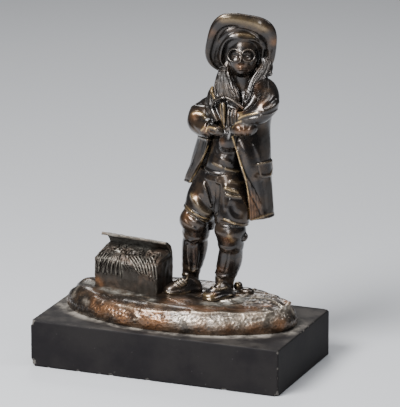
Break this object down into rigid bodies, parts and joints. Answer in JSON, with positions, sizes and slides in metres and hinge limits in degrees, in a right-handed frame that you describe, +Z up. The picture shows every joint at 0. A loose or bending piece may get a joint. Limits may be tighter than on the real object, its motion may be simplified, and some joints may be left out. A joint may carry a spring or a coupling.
{
  "type": "bronze beggar figure",
  "caption": "Small cast bronze statuette of a singing beggar in a long open coat and wide hat, with a straw-filled box on a mound of ground, on a black marble plinth.",
  "frame": {"origin": "centre of the plinth's underside", "axes": "+X along the plinth's long side, towards the figure's left; +Y towards the back of the plinth, behind the figure; +Z up"},
  "size_m": [0.18, 0.099, 0.2433],
  "materials": {
    "bronze": "dark brown patinated bronze, polished, rubbed to warm brown and gold on edges",
    "black_marble": "honed black marble, worn matte, with pale nicks"
  },
  "bodies": {
    "root": {"marble_plinth": "black_marble", "bronze_beggar_on_ground": "bronze"}
  },
  "joints": []
}
